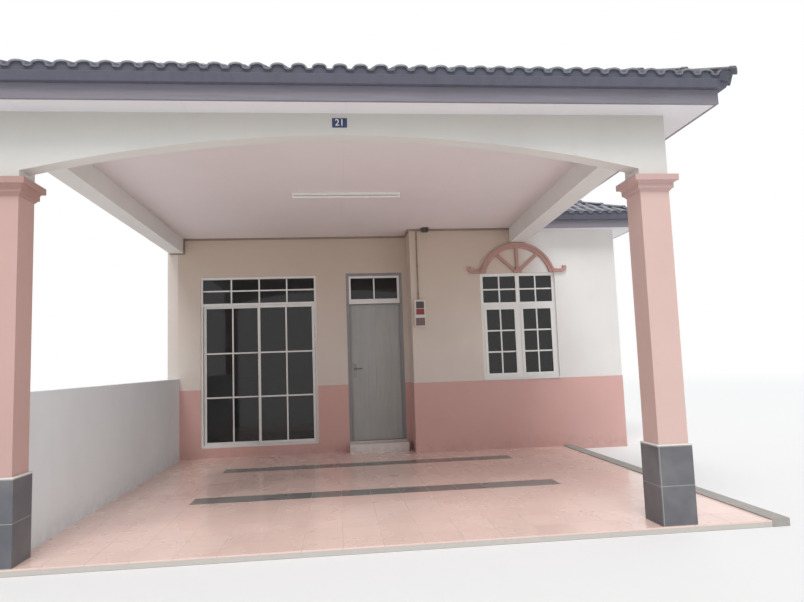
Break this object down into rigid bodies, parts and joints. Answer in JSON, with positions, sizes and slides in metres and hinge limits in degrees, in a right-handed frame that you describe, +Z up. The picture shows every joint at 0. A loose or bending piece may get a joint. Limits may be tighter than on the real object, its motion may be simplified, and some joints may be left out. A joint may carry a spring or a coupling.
{
  "type": "terrace-end bungalow with car porch",
  "caption": "Hollow single-storey terrace-end bungalow: hipped roof on an L-shaped plan, arched car porch on tiled columns, sliding glazed door, hinged door and windows.",
  "frame": {"origin": "on the ground at the middle of the bungalow's box, on the underside of the house floor", "axes": "+Z up, +X to the right along the front, +Y from the porch to the back"},
  "size_m": [7.4186, 16.0752, 6.0741],
  "materials": {
    "floor_tile": "satin glazed floor tile with fine joints",
    "dark_tile": "satin dark floor tile",
    "concrete": "rough cast concrete",
    "screed": "smooth cement floor",
    "white_render": "painted white render",
    "foot_tile": "dark slate-like wall tile, satin",
    "salmon_paint": "painted salmon render",
    "cream_paint": "painted cream render",
    "beam_paint": "painted off-white render",
    "party_render": "plain grey-white render",
    "ceiling_board": "painted cement board",
    "eaves_board": "painted cement board",
    "cover_strip": "dark painted timber",
    "fascia_paint": "dark brown-grey painted timber board",
    "roof_tile": "dark rolled concrete tile, weathered",
    "cap_tile": "dark half-round ridge tile",
    "white_aluminium": "white powder coat",
    "glass": "tinted clear glass",
    "door_frame_paint": "dark grey gloss paint",
    "door_paint": "grey satin paint on pressed steel",
    "lever_metal": "brushed steel",
    "plate_paint": "dark blue enamel, bare",
    "lamp_body": "dark plastic",
    "lamp_white": "white enamel and frosted tube",
    "box_plastic": "off-white plastic"
  },
  "bodies": {
    "house": {"porch_floor": "floor_tile", "floor_bands": "dark_tile", "porch_kerb": "concrete", "house_floor": "screed", "door_step": "white_render", "low_wall": "white_render", "column_feet": "foot_tile", "column_shafts": "salmon_paint", "column_capitals": "salmon_paint", "front_beam": "beam_paint", "side_beam_left": "cream_paint", "side_beam_right": "cream_paint", "porch_ceiling": "ceiling_board", "ceiling_cover": "cover_strip", "front_wall_left": "cream_paint", "front_wall_middle": "cream_paint", "front_wall_right": "cream_paint", "front_wall_base": "salmon_paint", "lintel_sliding_door": "cream_paint", "lintel_door": "cream_paint", "return_wall": "cream_paint", "room_wall": "cream_paint", "side_wall": "cream_paint", "back_wall": "cream_paint", "party_wall": "party_render", "party_gable": "party_render", "dado": "salmon_paint", "house_ceiling": "ceiling_board", "eaves_porch": "eaves_board", "eaves_house": "eaves_board", "fascia_porch": "fascia_paint", "fascia_house": "fascia_paint", "roof_porch_front": "roof_tile", "roof_porch_side": "roof_tile", "roof_house_front": "roof_tile", "roof_house_side": "roof_tile", "roof_house_back": "roof_tile", "hip_caps": "cap_tile", "ridge_caps": "cap_tile", "sliding_frame": "white_aluminium", "sliding_top_glass": "glass", "door_frame_set": "door_frame_paint", "door_top_glass": "glass", "window_frames": "white_aluminium", "window_casements": "white_aluminium", "window_glass": "glass", "window_sills": "white_render", "window_hood": "salmon_paint", "number_plate": "plate_paint", "porch_lamp": "lamp_body", "tube_lamp": "lamp_white", "meter_box": "box_plastic"},
    "sliding_left": {"sliding_leaf_left": "white_aluminium", "sliding_leaf_left_glass": "glass"},
    "sliding_right": {"sliding_leaf_right": "white_aluminium", "sliding_leaf_right_glass": "glass"},
    "front_door": {"door_leaf": "door_paint", "door_lever": "lever_metal"}
  },
  "joints": [
    {"name": "front_door_hinge", "type": "hinge", "parent": "house", "child": "front_door", "pos_m": [-0.11281, -2.401, 1], "axis": [0, 0, -1], "range_deg": [0, 90]},
    {"name": "sliding_left_track", "type": "slide", "parent": "house", "child": "sliding_left", "axis": [1, 0, 0], "range_m": [0, 0.815]},
    {"name": "sliding_right_track", "type": "slide", "parent": "house", "child": "sliding_right", "axis": [-1, 0, 0], "range_m": [0, 0.815]}
  ]
}
